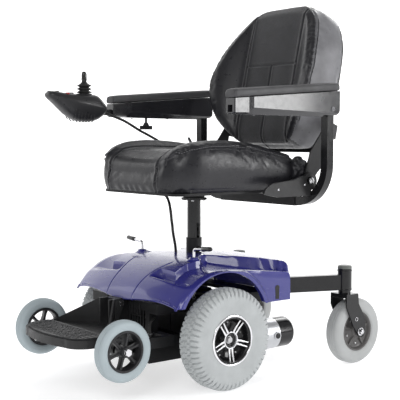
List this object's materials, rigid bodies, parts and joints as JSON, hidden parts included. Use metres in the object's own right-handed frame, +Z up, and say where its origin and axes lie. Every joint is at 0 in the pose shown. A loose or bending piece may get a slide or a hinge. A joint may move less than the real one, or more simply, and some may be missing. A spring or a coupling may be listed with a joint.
{
  "type": "power wheelchair",
  "caption": "Mid-wheel-drive power wheelchair: padded swivel seat on a height-adjustable post, flip-up armrests, joystick, footplate and battery base on drive, front and caster wheels.",
  "frame": {"origin": "middle of the floor area the chair covers, on the floor", "axes": "+Z up; the chair faces -Y; +X is the chair's left side; the base is symmetric about the YZ plane"},
  "size_m": [0.6776, 1.114, 1.1847],
  "materials": {
    "frame_black": "satin",
    "battery_case": "matte",
    "controller_metal": "satin",
    "shroud_paint": "gloss",
    "black_plastic": "satin",
    "gearbox_cast": "satin",
    "motor_can": "satin",
    "motor_cap": "satin",
    "barrel_cap": "satin",
    "plated_steel": "polished",
    "drive_tyre": "matte",
    "drive_rim": "gloss",
    "front_tyre": "matte",
    "front_rim": "satin",
    "caster_tyre": "matte",
    "caster_rim": "satin",
    "grip_black": "matte",
    "foot_mat_rubber": "matte",
    "post_steel": "brushed",
    "seat_vinyl": "satin",
    "back_upholstery": "satin",
    "arm_pad_foam": "satin",
    "arm_housing": "satin",
    "joystick_plastic": "satin",
    "gaiter_rubber": "matte",
    "red_button": "gloss",
    "grey_button": "gloss",
    "cable_jacket": "satin"
  },
  "bodies": {
    "base": {"base_frame": "frame_black", "front_arms": "frame_black", "batteries": "battery_case", "controller_box": "controller_metal", "shroud": "shroud_paint", "rear_panel": "black_plastic", "post_socket": "frame_black", "gearboxes": "gearbox_cast", "motors": "motor_can", "motor_end_bells": "motor_cap", "rear_arms": "frame_black", "barrel_caps": "barrel_cap", "front_axle_pins": "plated_steel", "control_cable_lower": "cable_jacket"},
    "footrest": {"footplate": "black_plastic", "foot_mat": "foot_mat_rubber"},
    "post": {"seat_post": "post_steel"},
    "post_pin": {"post_pin": "plated_steel"},
    "seat": {"swivel_head": "frame_black", "seat_pan": "frame_black", "seat_cushion": "seat_vinyl", "armrest_receiver": "frame_black", "arm_posts": "frame_black", "hinge_covers": "black_plastic", "control_cable_upper": "cable_jacket"},
    "swivel_release": {"swivel_lever": "frame_black"},
    "backrest": {"backrest_frame": "frame_black", "backrest_cushion": "back_upholstery"},
    "recline_lever": {"backrest_lever": "plated_steel"},
    "armrest_left": {"armrest_left": "arm_housing", "arm_pad_left": "arm_pad_foam"},
    "armrest_right": {"armrest_right": "arm_housing", "arm_pad_right": "arm_pad_foam", "joystick_bracket": "frame_black", "joystick_box": "joystick_plastic", "joystick_gaiter": "gaiter_rubber"},
    "thumb_screw": {"thumb_screw": "black_plastic"},
    "gimbal": {"joystick_gimbal": "gearbox_cast"},
    "stick": {"joystick_stick": "joystick_plastic"},
    "speed_dial": {"speed_dial": "grey_button"},
    "power_button": {"power_button": "red_button"},
    "horn_button": {"horn_button": "grey_button"},
    "drive_wheel_left": {"drive_tyre_left": "drive_tyre", "drive_rim_left": "drive_rim", "drive_axle_left": "plated_steel"},
    "front_wheel_left": {"front_tyre_left": "front_tyre", "front_rim_left": "front_rim"},
    "caster_left": {"caster_fork_left": "frame_black"},
    "caster_wheel_left": {"caster_tyre_left": "caster_tyre", "caster_rim_left": "caster_rim"},
    "freewheel_left": {"freewheel_lever_left": "grip_black"},
    "drive_wheel_right": {"drive_tyre_right": "drive_tyre", "drive_rim_right": "drive_rim", "drive_axle_right": "plated_steel"},
    "front_wheel_right": {"front_tyre_right": "front_tyre", "front_rim_right": "front_rim"},
    "caster_right": {"caster_fork_right": "frame_black"},
    "caster_wheel_right": {"caster_tyre_right": "caster_tyre", "caster_rim_right": "caster_rim"},
    "freewheel_right": {"freewheel_lever_right": "grip_black"}
  },
  "joints": [
    {"name": "drive_wheel_left_spin", "type": "hinge", "parent": "base", "child": "drive_wheel_left", "pos_m": [0.2714, -0.1, 0.1505], "axis": [1, 0, 0], "continuous": true},
    {"name": "front_wheel_left_spin", "type": "hinge", "parent": "base", "child": "front_wheel_left", "pos_m": [0.228, -0.43, 0.1515], "axis": [1, 0, 0], "continuous": true},
    {"name": "caster_left_swivel", "type": "hinge", "parent": "base", "child": "caster_left", "pos_m": [0.2645, 0.41, 0.28], "axis": [0, 0, 1], "continuous": true},
    {"name": "caster_wheel_left_spin", "type": "hinge", "parent": "caster_left", "child": "caster_wheel_left", "pos_m": [0.2645, 0.45, 0.107], "axis": [1, 0, 0], "continuous": true},
    {"name": "freewheel_lever_left_turn", "type": "hinge", "parent": "base", "child": "freewheel_left", "pos_m": [0.137, -0.111, 0.38], "axis": [0, 0, 1], "range_deg": [0, 90]},
    {"name": "drive_wheel_right_spin", "type": "hinge", "parent": "base", "child": "drive_wheel_right", "pos_m": [-0.2714, -0.1, 0.1505], "axis": [1, 0, 0], "continuous": true},
    {"name": "front_wheel_right_spin", "type": "hinge", "parent": "base", "child": "front_wheel_right", "pos_m": [-0.228, -0.43, 0.1515], "axis": [1, 0, 0], "continuous": true},
    {"name": "caster_right_swivel", "type": "hinge", "parent": "base", "child": "caster_right", "pos_m": [-0.2645, 0.41, 0.28], "axis": [0, 0, 1], "continuous": true},
    {"name": "caster_wheel_right_spin", "type": "hinge", "parent": "caster_right", "child": "caster_wheel_right", "pos_m": [-0.2645, 0.45, 0.107], "axis": [1, 0, 0], "continuous": true},
    {"name": "freewheel_lever_right_turn", "type": "hinge", "parent": "base", "child": "freewheel_right", "pos_m": [-0.137, -0.111, 0.38], "axis": [0, 0, -1], "range_deg": [0, 90]},
    {"name": "footplate_lift", "type": "hinge", "parent": "base", "child": "footrest", "pos_m": [0, -0.305, 0.245], "axis": [-1, 0, 0], "range_deg": [0, 85]},
    {"name": "seat_height", "type": "slide", "parent": "base", "child": "post", "axis": [0, 0, 1], "range_m": [-0.075, 0.025], "deforming": ["control_cable_upper", "control_cable_lower"]},
    {"name": "post_pin_pull", "type": "slide", "parent": "base", "child": "post_pin", "axis": [1, 0, 0], "range_m": [0, 0.07]},
    {"name": "seat_swivel", "type": "hinge", "parent": "post", "child": "seat", "pos_m": [0, -0.005, 0.56], "axis": [0, 0, 1], "range_deg": [-90, 90], "deforming": ["control_cable_upper"]},
    {"name": "swivel_lever_pull", "type": "hinge", "parent": "seat", "child": "swivel_release", "pos_m": [-0.042, 0.024, 0.557], "axis": [0, 0, 1], "range_deg": [0, 18], "stiffness_Nm_per_rad": 2},
    {"name": "backrest_fold", "type": "hinge", "parent": "seat", "child": "backrest", "pos_m": [0.25, 0.254, 0.604], "axis": [1, 0, 0], "range_deg": [0, 26]},
    {"name": "recline_lever_pull", "type": "hinge", "parent": "seat", "child": "recline_lever", "pos_m": [-0.261, 0.254, 0.604], "axis": [1, 0, 0], "range_deg": [0, 20], "stiffness_Nm_per_rad": 2},
    {"name": "armrest_left_lift", "type": "hinge", "parent": "seat", "child": "armrest_left", "pos_m": [0.3138, 0.274, 0.826], "axis": [-1, 0, 0], "range_deg": [0, 90]},
    {"name": "armrest_right_lift", "type": "hinge", "parent": "seat", "child": "armrest_right", "pos_m": [-0.3138, 0.274, 0.826], "axis": [-1, 0, 0], "range_deg": [0, 90], "deforming": ["control_cable_upper"]},
    {"name": "thumb_screw_turn", "type": "hinge", "parent": "armrest_right", "child": "thumb_screw", "pos_m": [-0.3138, 0.029, 0.79], "axis": [0, 0, 1], "range_deg": [0, 720]},
    {"name": "joystick_pitch", "type": "hinge", "parent": "armrest_right", "child": "gimbal", "pos_m": [-0.29, -0.232, 0.866], "axis": [1, 0, 0], "range_deg": [-18, 18], "stiffness_Nm_per_rad": 0.25, "deforming": ["joystick_gaiter"]},
    {"name": "joystick_roll", "type": "hinge", "parent": "gimbal", "child": "stick", "pos_m": [-0.29, -0.232, 0.866], "axis": [0, 1, 0], "range_deg": [-18, 18], "stiffness_Nm_per_rad": 0.25, "deforming": ["joystick_gaiter"]},
    {"name": "speed_dial_turn", "type": "hinge", "parent": "armrest_right", "child": "speed_dial", "pos_m": [-0.29, -0.284, 0.88], "axis": [0, 0, 1], "range_deg": [-135, 135]},
    {"name": "power_button_press", "type": "slide", "parent": "armrest_right", "child": "power_button", "axis": [0, 0, -1], "range_m": [0, 0.0018], "stiffness_N_per_m": 900},
    {"name": "horn_button_press", "type": "slide", "parent": "armrest_right", "child": "horn_button", "axis": [0, 0, -1], "range_m": [0, 0.0018], "stiffness_N_per_m": 900}
  ]
}
